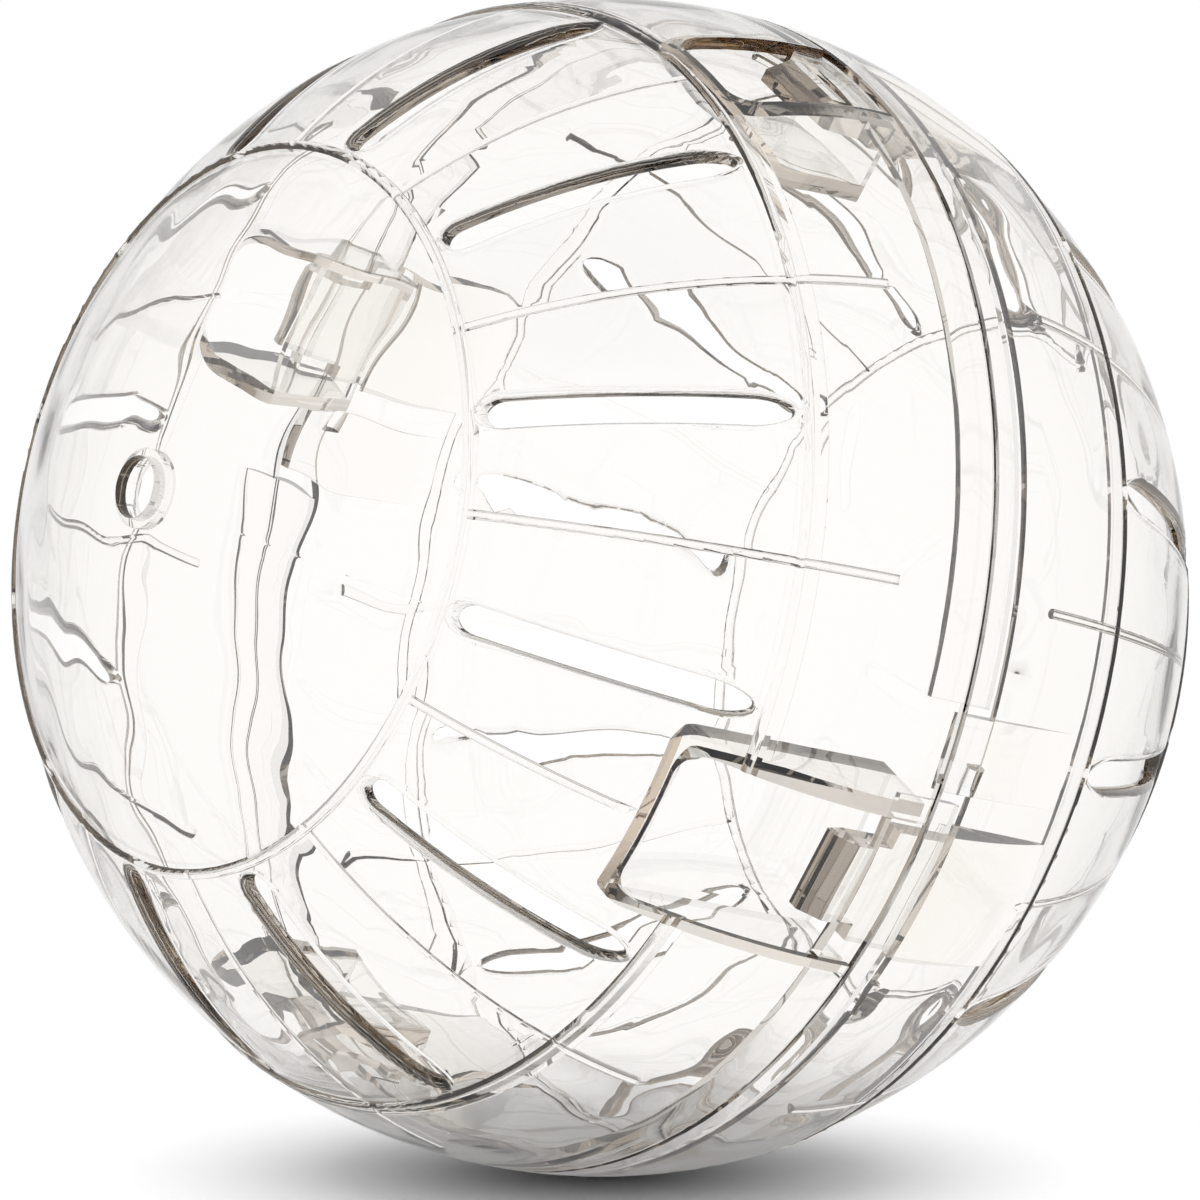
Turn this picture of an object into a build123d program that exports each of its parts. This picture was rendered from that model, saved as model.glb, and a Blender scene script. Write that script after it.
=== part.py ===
from build123d import *
import os
from math import cos, sin, tan, sqrt, radians

# Hamster ball in two clear halves. The ball's centre is the origin, the pole axis lies along Y with the
# front half's pole at -Y, and +Z is up. Angles about the pole axis run from +X towards +Z.
# All sizes are millimetres and degrees.
ball_radius = 70.0
wall = 1.8
# the pole cap and the slotted zone lie this far inside the equator band's surface
zone_step = 0.4
ring_1_polar = 37.8
ring_2_polar = 70.8
ring_2_slope = 1.0
inner_ring_polar = 72.0
bead_radius = 0.75
bead_sink = 0.3
seam_half_gap = 0.15
edge_break = 0.25

hole_radius = 3.65
boss_rim = 0.95
boss_length = 3.4

# round ribs inside the wall, half sunk in it
rib_count = 12
rib_radius = 0.6
rib_proud = 0.2
rib_end_polar = 80.3

slot_width = 3.3
slot_inner_polar = 38.6
slot_outer_polar = 65.45
slot_outer_rounding = 0.9
slot_inner_rounding = 0.4

# tongue band inside the front half's rim, and the rebate it slides into under the rear half's lip
lip = 0.9
tongue_clearance = 0.15
band_thickness = 1.75
band_root = 4.4
band_reach = 4.0
rebate_spare = 1.1
key_angles = (0.0, 180.0)
key_width = 9.0
key_side_gap = 1.2
key_proud = 0.2
key_end_polar = 107.5

# finger pockets, a long one on the right and short ones at the other latches; each floor ends in a ramp
pocket_wall = 1.6
pocket_corner = 3.4
pocket_depth = 9.65
pocket_sill = 0.8
pocket_sill_least = 0.2
pocket_ramp = 26.5
long_angles = (-15.0,)
long_half_width = 9.6
long_end_polar = 63.37
short_angles = (75.0, 165.0, 255.0)
short_half_width = 7.9
short_end_polar = 71.7

# press hooks on the rear half
hook_width = 10.0
hook_flange_width = 14.4
hook_flange_end = 1.4
hook_thickness = 2.5
hook_gap = 0.5
catch_gap = 0.25
catch_height = 1.7
crest_length = 2.1
ramp_length = 2.65
tip_drop = 0.2
tip_lift = 0.8
pivot_inset = 0.1
pivot_clearance = 0.06
pad_width = 16.4
pad_proud = 0.2


def at(radius, polar):
    """Point of a meridian at a distance from the centre and an angle from the front pole."""
    return (radius * sin(radians(polar)), -radius * cos(radians(polar)))


def meridian(angle):
    """Plane through the pole axis: local x points outwards at the angle, local y is Y."""
    return Plane.XY.rotated((0, -angle, 0))


def facing(angle, distance):
    """Plane at a distance from the pole axis that looks outwards at the angle: local x is Y."""
    outwards = Vector(cos(radians(angle)), 0, sin(radians(angle)))
    return Plane(origin=outwards * distance, x_dir=(0, 1, 0), z_dir=outwards)


zone_radius = ball_radius - zone_step
inner_radius = ball_radius - wall
zone_inner_radius = zone_radius - wall
mid_wall_radius = zone_radius - wall / 2
rib_path_radius = inner_radius - rib_proud
rib_pitch = 360 / rib_count
boss_radius = hole_radius + boss_rim
slot_inner_radius = zone_radius * sin(radians(slot_inner_polar))
slot_outer_radius = zone_radius * sin(radians(slot_outer_polar))
rebate_radius = ball_radius - lip
rebate_depth = band_reach + rebate_spare
band_outer_radius = rebate_radius - tongue_clearance
band_inner_radius = band_outer_radius - band_thickness
key_inner_radius = band_inner_radius - key_proud
notch_width = key_width + 2 * key_side_gap
floor_radius = ball_radius - pocket_depth
hook_outer_radius = band_inner_radius - hook_gap
hook_inner_radius = hook_outer_radius - hook_thickness
hook_catch = band_root + catch_gap
hook_crest_radius = hook_outer_radius + catch_height
hook_tip = hook_catch + crest_length + ramp_length
hook_tip_inner_radius = hook_inner_radius + tip_lift
hook_tip_outer_radius = hook_outer_radius - tip_drop
pivot_y = rebate_depth - pivot_inset
pad_inner_radius = hook_inner_radius - pad_proud
rim_polar = 90.0 - 57.29578 * (seam_half_gap + edge_break) / ball_radius
rim_y = -seam_half_gap
rim_inner_x = sqrt(inner_radius**2 - seam_half_gap**2)
boss_end_y = boss_length - zone_radius
ring_2_foot = ring_2_polar - ring_2_slope

# the outside of a half as one solid, used to trim the pocket linings
with BuildPart() as outside:
    with BuildSketch(Plane.XY):
        with BuildLine():
            Line((0, rim_y), (ball_radius - edge_break, rim_y))
            Line((ball_radius - edge_break, rim_y), at(ball_radius, rim_polar))
            ThreePointArc(at(ball_radius, rim_polar), at(ball_radius, 80), at(ball_radius, ring_2_polar))
            Line(at(ball_radius, ring_2_polar), at(zone_radius, ring_2_foot))
            ThreePointArc(at(zone_radius, ring_2_foot), at(zone_radius, 40), (0, -zone_radius))
            Line((0, -zone_radius), (0, rim_y))
        make_face()
    revolve(axis=Axis.Y)

# the shell that both halves share, with its pole at -Y
with BuildPart() as plain_shell:
    with BuildSketch(Plane.XY):
        with BuildLine():
            Line((rim_inner_x, rim_y), (ball_radius - edge_break, rim_y))
            Line((ball_radius - edge_break, rim_y), at(ball_radius, rim_polar))
            ThreePointArc(at(ball_radius, rim_polar), at(ball_radius, 80), at(ball_radius, ring_2_polar))
            Line(at(ball_radius, ring_2_polar), at(zone_radius, ring_2_foot))
            ThreePointArc(at(zone_radius, ring_2_foot), at(zone_radius, 40), (0, -zone_radius))
            Line((0, -zone_radius), (0, -zone_inner_radius))
            inner_ring_foot = at(zone_inner_radius, inner_ring_polar)
            ThreePointArc((0, -zone_inner_radius), at(zone_inner_radius, 45), inner_ring_foot)
            Line(inner_ring_foot, at(inner_radius, inner_ring_polar))
            ThreePointArc(at(inner_radius, inner_ring_polar), at(inner_radius, 82), (rim_inner_x, rim_y))
        make_face()
    revolve(axis=Axis.Y)
    # air slots between the ribs, cut along the pole axis, with rounded edges inside and outside
    with BuildSketch(Plane.XZ):
        with PolarLocations((slot_inner_radius + slot_outer_radius) / 2, rib_count):
            SlotOverall(slot_outer_radius - slot_inner_radius, slot_width)
    extrude(amount=ball_radius, mode=Mode.SUBTRACT)
    slot_edges = edges(Select.LAST).filter_by(GeomType.LINE, reverse=True)
    fillet(slot_edges.filter_by(lambda edge: (edge @ 0.5).length > mid_wall_radius), slot_outer_rounding)
    slot_edges = slot_edges.filter_by(lambda edge: (edge @ 0.5).length < mid_wall_radius)
    fillet(slot_edges, slot_inner_rounding)
    # beads at the edge of the pole cap and at the step to the equator band
    with BuildSketch(Plane.XY):
        with Locations(at(zone_radius - bead_sink, ring_1_polar), at(zone_radius - bead_sink, ring_2_foot)):
            Circle(bead_radius)
    revolve(axis=Axis.Y)
    # ribs along the meridians
    for k in range(rib_count):
        rib_plane = meridian((k + 0.5) * rib_pitch)
        across = rib_plane.z_dir
        outwards = Vector(*rib_plane.from_local_coords(at(1, ring_1_polar)))
        with BuildSketch(Plane(origin=(0, 0, 0), x_dir=outwards, z_dir=across.cross(outwards))):
            with Locations((rib_path_radius, 0)):
                Circle(rib_radius)
        revolve(axis=Axis((0, 0, 0), across), revolution_arc=rib_end_polar - ring_1_polar)


def pocket_form(angle, half_width, end_polar, offset):
    """Body of a pocket at an angle, or of its lining when it is offset by the pocket's wall."""
    length = zone_radius * cos(radians(end_polar))
    sill_radius = max(zone_radius * sin(radians(end_polar)) - pocket_sill, floor_radius + pocket_sill_least)
    slope = tan(radians(pocket_ramp))
    ramp_start = length - (sill_radius - floor_radius) / slope
    ramp_reach = length + pocket_wall + pocket_corner
    bottom = floor_radius - offset
    corner = ramp_start + offset * tan(radians(pocket_ramp / 2))
    with BuildPart() as form:
        with BuildSketch(facing(angle, 0.7 * floor_radius + pocket_wall - offset)):
            RectangleRounded(2 * (length + offset), 2 * (half_width + offset), pocket_corner + offset)
        extrude(amount=ball_radius)
        with BuildSketch(Plane.XY):
            with BuildLine():
                Polyline(
                    (0, ball_radius),
                    (bottom, ball_radius),
                    (bottom, -corner),
                    (bottom + (ramp_reach - corner) * slope, -ramp_reach),
                    (0, -ramp_reach),
                    close=True,
                )
            make_face()
        revolve(axis=Axis.Y, mode=Mode.SUBTRACT)
    return form.part


# front half: shell, pole hole in a boss, pockets and tongue band
with BuildPart() as front_half:
    add(plain_shell.part)
    with BuildSketch(Plane.XY):
        with BuildLine():
            Polyline(
                (hole_radius, -mid_wall_radius),
                (boss_radius, -mid_wall_radius),
                (boss_radius, boss_end_y),
                (hole_radius, boss_end_y),
                close=True,
            )
        make_face()
    revolve(axis=Axis.Y)
    with BuildSketch(Plane.XZ):
        Circle(hole_radius)
    extrude(amount=ball_radius, mode=Mode.SUBTRACT)
    for angles, half_width, end_polar in (
        (long_angles, long_half_width, long_end_polar),
        (short_angles, short_half_width, short_end_polar),
    ):
        for angle in angles:
            lining = pocket_form(angle, half_width, end_polar, pocket_wall)
            pocket = pocket_form(angle, half_width, end_polar, 0)
            with BuildPart(mode=Mode.PRIVATE) as tray:
                add(lining)
                add(outside.part, mode=Mode.INTERSECT)
                add(pocket, mode=Mode.SUBTRACT)
            add(pocket, mode=Mode.SUBTRACT)
            add(tray.part)
    with BuildPart(mode=Mode.PRIVATE) as band:
        with BuildSketch(Plane.XZ.offset(-band_reach)):
            Circle(band_outer_radius)
            Circle(band_inner_radius, mode=Mode.SUBTRACT)
            for angle in key_angles:
                with Locations(Rotation(0, 0, angle) * Location((band_outer_radius, 0))):
                    Rectangle(wall * 4, notch_width, mode=Mode.SUBTRACT)
        extrude(amount=band_reach + band_root)
    add(band.part)

# rear half: shell with a closed pole, rebate, keys and hook pads
with BuildPart() as rear_half:
    add(plain_shell.part, rotation=(180, 0, 0))
    with BuildSketch(Plane.XZ):
        Circle(rebate_radius)
    extrude(amount=-rebate_depth, mode=Mode.SUBTRACT)
    root_radius = ball_radius - 0.6 * wall
    key_front = 2 * seam_half_gap
    for angle in key_angles:
        with BuildSketch(meridian(angle)):
            with BuildLine():
                key_top = (sqrt(root_radius**2 - key_front**2), key_front)
                Line((key_inner_radius, key_front), key_top)
                ThreePointArc(key_top, at(root_radius, 98), at(root_radius, key_end_polar))
                Line(at(root_radius, key_end_polar), at(inner_radius, key_end_polar))
                Line(at(inner_radius, key_end_polar), (key_inner_radius, key_front))
            make_face()
        extrude(amount=key_width / 2, both=True)
    pivot_radius = (hook_inner_radius + hook_outer_radius) / 2
    bead = (hook_outer_radius - hook_inner_radius) / 2
    for angle in long_angles + short_angles:
        with BuildSketch(meridian(angle)):
            with BuildLine():
                pad_top = (sqrt(root_radius**2 - rebate_depth**2), rebate_depth)
                pad_end = (pad_inner_radius, sqrt(root_radius**2 - pad_inner_radius**2))
                Line((pad_inner_radius, rebate_depth), pad_top)
                ThreePointArc(pad_top, at(root_radius, 102), pad_end)
                Line(pad_end, (pad_inner_radius, rebate_depth))
            make_face()
        extrude(amount=pad_width / 2, both=True)
        with BuildSketch(meridian(angle)):
            with Locations((pivot_radius, pivot_y)):
                Circle(bead + pivot_clearance)
        extrude(amount=pad_width, both=True, mode=Mode.SUBTRACT)


def make_hook(angle):
    """One press hook at an angle: a flange with a rounded root, an arm and a ramped head."""
    with BuildPart() as hook:
        with BuildSketch(meridian(angle)):
            with Locations((pivot_radius, pivot_y)):
                Circle(bead)
            with Locations((pivot_radius, (pivot_y - hook_flange_end) / 2)):
                Rectangle(2 * bead, pivot_y + hook_flange_end)
        extrude(amount=hook_flange_width / 2, both=True)
        with BuildSketch(meridian(angle)):
            with BuildLine():
                Polyline(
                    (hook_inner_radius, 0),
                    (hook_outer_radius, 0),
                    (hook_outer_radius, -hook_catch),
                    (hook_crest_radius, -hook_catch),
                    (hook_crest_radius, -hook_catch - crest_length),
                    (hook_tip_outer_radius, -hook_tip),
                    (hook_tip_inner_radius, -hook_tip),
                    (hook_inner_radius, -hook_catch - crest_length),
                    close=True,
                )
            make_face()
        extrude(amount=hook_width / 2, both=True)
    return hook.part


latch_hook_right = make_hook(long_angles[0])
latch_hook_top = make_hook(short_angles[0])
latch_hook_left = make_hook(short_angles[1])
latch_hook_bottom = make_hook(short_angles[2])

front_half.part.label = "front_half"
rear_half.part.label = "rear_half"
latch_hook_right.label = "latch_hook_right"
latch_hook_left.label = "latch_hook_left"
latch_hook_top.label = "latch_hook_top"
latch_hook_bottom.label = "latch_hook_bottom"

os.makedirs("parts", exist_ok=True)
export_step(front_half.part, "parts/front_half.step")
export_step(rear_half.part, "parts/rear_half.step")
export_step(latch_hook_right, "parts/latch_hook_right.step")
export_step(latch_hook_left, "parts/latch_hook_left.step")
export_step(latch_hook_top, "parts/latch_hook_top.step")
export_step(latch_hook_bottom, "parts/latch_hook_bottom.step")
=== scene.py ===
import bpy
import numpy as np
from mathutils import Matrix, Vector

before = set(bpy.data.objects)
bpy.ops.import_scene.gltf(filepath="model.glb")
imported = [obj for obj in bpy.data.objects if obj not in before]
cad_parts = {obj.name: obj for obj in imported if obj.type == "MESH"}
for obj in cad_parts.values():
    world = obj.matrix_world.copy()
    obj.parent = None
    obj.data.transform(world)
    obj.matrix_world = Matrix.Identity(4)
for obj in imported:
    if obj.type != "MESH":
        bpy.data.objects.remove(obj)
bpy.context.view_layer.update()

# Metres and degrees. The photograph shows the ball rolled about the line of sight, so the paper it lies on
# is square to the picture's upward direction and not to the frame's Z.
mm = 0.001
ball_radius = 70 * mm
mid_wall = 69 * mm

# the wall's polished faces: width and height of the waves that the mould left in them
wave_width = 10 * mm
wave_height = 0.13 * mm

# camera, fitted to the photograph
camera_azimuth = 51.46
camera_elevation = 6.6
camera_roll = 17.35
camera_distance = 16.06 * ball_radius
pixels_per_radius = 588.8
picture_width = 1200
centre_pixel = (601.3, 586.9)
sensor_width = 36
farthest_view = 10

# sheet of paper: its lean towards the camera, its size, the share of its radius from which it fades, its
# distance from the ball and the parts of its mesh
paper_tilt = 6.0
paper_radius = 78 * mm
paper_fade = 0.4
paper_gap = 0.3 * mm
paper_rings = 12
paper_spokes = 64

# light that the paper gets from the room, so that it turns white clear of the ball's shadow, and the share of a
# painted grey glow in what the plastic shows of it: painted light in the ball's shadow and painted shade on the
# lit paper
paper_light = 2.0
painted_glow_share = 0.5

# light of the room as the plastic shows it, and what is left of it after each mirroring inside a wall
room_light = 1.06
mirror_keeps = 0.86


def linear(code):
    """Linear colour, with alpha 1, of an sRGB hex code."""
    s = np.array([int(code[i:i + 2], 16) for i in (1, 3, 5)]) / 255
    return (*np.where(s <= 0.04045, s / 12.92, ((s + 0.055) / 1.055) ** 2.4), 1.0)


def add(tree, kind, values=(), links=(), **settings):
    """Add a node to a tree with its settings, its plain input values and its links from other sockets."""
    node = tree.nodes.new(kind)
    for name, value in settings.items():
        setattr(node, name, value)
    for key, value in dict(values).items():
        node.inputs[key].default_value = value
    for key, source in dict(links).items():
        tree.links.new(source, node.inputs[key])
    return node


def clear_polystyrene():
    """Clear moulded polystyrene: polished, a little wavy from the mould and differently so on the wall's two
    faces, and olive where light runs far inside the wall."""
    material = bpy.data.materials.new("clear polystyrene")
    material.use_nodes = True
    tree = material.node_tree
    shader = tree.nodes["Principled BSDF"]
    shader.inputs["Base Color"].default_value = linear("#FFFFFF")
    shader.inputs["Transmission Weight"].default_value = 1.0
    shader.inputs["IOR"].default_value = 1.58
    shader.inputs["Roughness"].default_value = 0.0
    spot = add(tree, "ShaderNodeTexCoord").outputs["Object"]
    depth = add(tree, "ShaderNodeVectorMath", links={0: spot}, operation="LENGTH").outputs["Value"]
    face = add(tree, "ShaderNodeMath", {1: mid_wall}, {0: depth}, operation="GREATER_THAN").outputs[0]
    wave = add(tree, "ShaderNodeTexNoise", {"Scale": 1 / wave_width, "Detail": 0.0},
               {"Vector": spot, "W": face}, noise_dimensions="4D")
    bump = add(tree, "ShaderNodeBump", {"Strength": 1.0, "Distance": wave_height},
               {"Height": wave.outputs["Fac"]})
    tree.links.new(bump.outputs["Normal"], shader.inputs["Normal"])
    volume = add(tree, "ShaderNodeVolumeAbsorption", {"Color": linear("#E2CCA9"), "Density": 30.0})
    tree.links.new(volume.outputs["Volume"], tree.nodes["Material Output"].inputs["Volume"])
    return material


def white_paper():
    """White paper that fades out towards the rim of the sheet and is clear from below. The plastic is shown a
    mix of it and a painted grey glow: painted light that softens its shade under the ball, in place of the
    light that real clear plastic lets through onto it, and painted shade on the lit paper."""
    material = bpy.data.materials.new("white paper")
    material.use_nodes = True
    tree = material.node_tree
    tree.nodes.clear()
    spot = add(tree, "ShaderNodeTexCoord").outputs["UV"]
    length = add(tree, "ShaderNodeVectorMath", links={0: spot}, operation="LENGTH").outputs["Value"]
    fade = {"From Min": paper_fade, "From Max": 1.0, "To Min": 1.0, "To Max": 0.0}
    cover = add(tree, "ShaderNodeMapRange", fade, {"Value": length})
    seen_from_below = add(tree, "ShaderNodeNewGeometry").outputs["Backfacing"]
    front = add(tree, "ShaderNodeMath", {0: 1.0}, {1: seen_from_below}, operation="SUBTRACT")
    amount = add(tree, "ShaderNodeMath", links={0: cover.outputs["Result"], 1: front.outputs[0]},
                 operation="MULTIPLY")
    paper = add(tree, "ShaderNodeBsdfDiffuse", {"Color": linear("#F7F7F7")})
    # painted grey glow that the plastic sees in place of a share of the lit paper: painted light in the ball's
    # shadow, painted shade where the paper is lit
    glow = add(tree, "ShaderNodeEmission", {"Color": linear("#BDBDBD")})
    seen = add(tree, "ShaderNodeLightPath").outputs["Is Camera Ray"]
    share = add(tree, "ShaderNodeMath", {1: -painted_glow_share, 2: painted_glow_share}, {0: seen}, operation="MULTIPLY_ADD")
    lit = add(tree, "ShaderNodeMixShader",
              links={0: share.outputs[0], 1: paper.outputs[0], 2: glow.outputs[0]})
    clear = add(tree, "ShaderNodeBsdfTransparent")
    mix = add(tree, "ShaderNodeMixShader",
              links={0: amount.outputs[0], 1: clear.outputs[0], 2: lit.outputs[0]})
    add(tree, "ShaderNodeOutputMaterial", links={"Surface": mix.outputs[0]})
    return material


def sheet(name, centre, normal, radius, rings, spokes):
    """Flat disc: a middle point and rings of points, each at a share of the radius times the cosine and sine of
    an angle on two axes across the normal, with the share times that cosine and sine as its UV."""
    across = normal.cross(Vector((0, 1, 0))).normalized()
    along = normal.cross(across)
    share = np.arange(1, rings + 1)[:, None] / rings
    angle = np.arange(spokes) * 2 * np.pi / spokes
    ring_points = np.stack((share * np.cos(angle), share * np.sin(angle)), axis=-1).reshape(-1, 2)
    flat = np.vstack(((0.0, 0.0), ring_points))
    points = np.array(centre) + flat @ np.array((across, along)) * radius
    spoke = np.arange(spokes)
    following = (spoke + 1) % spokes
    hub = np.stack((np.zeros_like(spoke), 1 + spoke, 1 + following), axis=-1)
    low = 1 + np.arange(rings - 1)[:, None] * spokes
    high = low + spokes
    bands = np.stack((low + spoke, high + spoke, high + following, low + following), axis=-1).reshape(-1, 4)
    mesh = bpy.data.meshes.new(name)
    mesh.from_pydata(points.tolist(), [], hub.tolist() + bands.tolist())
    corners = np.empty(len(mesh.loops), dtype=np.int32)
    mesh.loops.foreach_get("vertex_index", corners)
    mesh.uv_layers.new(name="place").data.foreach_set("uv", flat[corners].ravel())
    if mesh.polygons[0].normal.dot(normal) < 0:
        mesh.flip_normals()
    thing = bpy.data.objects.new(name, mesh)
    bpy.context.scene.collection.objects.link(thing)
    return thing


polystyrene = clear_polystyrene()
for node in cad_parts.values():
    for slot in node.material_slots:
        slot.material = polystyrene

# camera at the photograph's angle
azimuth, elevation, roll = np.radians((camera_azimuth, camera_elevation, camera_roll))
outward = Vector((np.sin(azimuth), -np.cos(azimuth), 0))
back = outward * np.cos(elevation) + Vector((0, 0, np.sin(elevation)))
level = Vector((np.cos(azimuth), np.sin(azimuth), 0))
upright = back.cross(level)
right = level * np.cos(roll) + upright * np.sin(roll)
up = upright * np.cos(roll) - level * np.sin(roll)
lens = bpy.data.cameras.new("camera")
lens.sensor_width = sensor_width
lens.lens = sensor_width * pixels_per_radius * camera_distance / ball_radius / picture_width
lens.shift_x = (picture_width / 2 - centre_pixel[0]) / picture_width
lens.shift_y = (centre_pixel[1] - picture_width / 2) / picture_width
lens.clip_end = farthest_view
camera = bpy.data.objects.new("camera", lens)
turn = Matrix((right, up, back)).transposed().to_4x4()
camera.matrix_world = Matrix.Translation(back * camera_distance) @ turn
bpy.context.scene.collection.objects.link(camera)
bpy.context.scene.camera = camera

# sheet of paper under the ball
tilt = np.radians(paper_tilt)
paper_up = up * np.cos(tilt) + back * np.sin(tilt)
paper_middle = paper_up * -(ball_radius + paper_gap)
paper = sheet("paper", paper_middle, paper_up, paper_radius, paper_rings, paper_spokes)
paper.data.materials.append(white_paper())

# white room; light that the walls have mirrored again and again comes out greyer
world = bpy.data.worlds.new("white room")
bpy.context.scene.world = world
world.use_nodes = True
tree = world.node_tree
tree.nodes.clear()
path = add(tree, "ShaderNodeLightPath")
kept = add(tree, "ShaderNodeMath", {0: mirror_keeps}, {1: path.outputs["Glossy Depth"]}, operation="POWER")
glow = add(tree, "ShaderNodeMath", {1: room_light}, {0: kept.outputs[0]}, operation="MULTIPLY")
seen = add(tree, "ShaderNodeBackground", {"Color": linear("#FFFFFF")})
spread = add(tree, "ShaderNodeBackground", {"Color": linear("#FFFFFF"), "Strength": paper_light})
bent = add(tree, "ShaderNodeBackground", {"Color": linear("#FFFFFF")}, {"Strength": glow.outputs[0]})
other = add(tree, "ShaderNodeMixShader",
            links={0: path.outputs["Is Diffuse Ray"], 1: bent.outputs[0], 2: spread.outputs[0]})
light = add(tree, "ShaderNodeMixShader",
            links={0: path.outputs["Is Camera Ray"], 1: other.outputs[0], 2: seen.outputs[0]})
add(tree, "ShaderNodeOutputWorld", links={"Surface": light.outputs[0]})

# light runs far inside clear walls before it leaves them, and the ball's shadow stays plain
cycles = bpy.context.scene.cycles
cycles.max_bounces = 32
cycles.glossy_bounces = 24
cycles.transmission_bounces = 32
cycles.caustics_refractive = False
cycles.caustics_reflective = False
bpy.context.scene.view_settings.view_transform = "Standard"
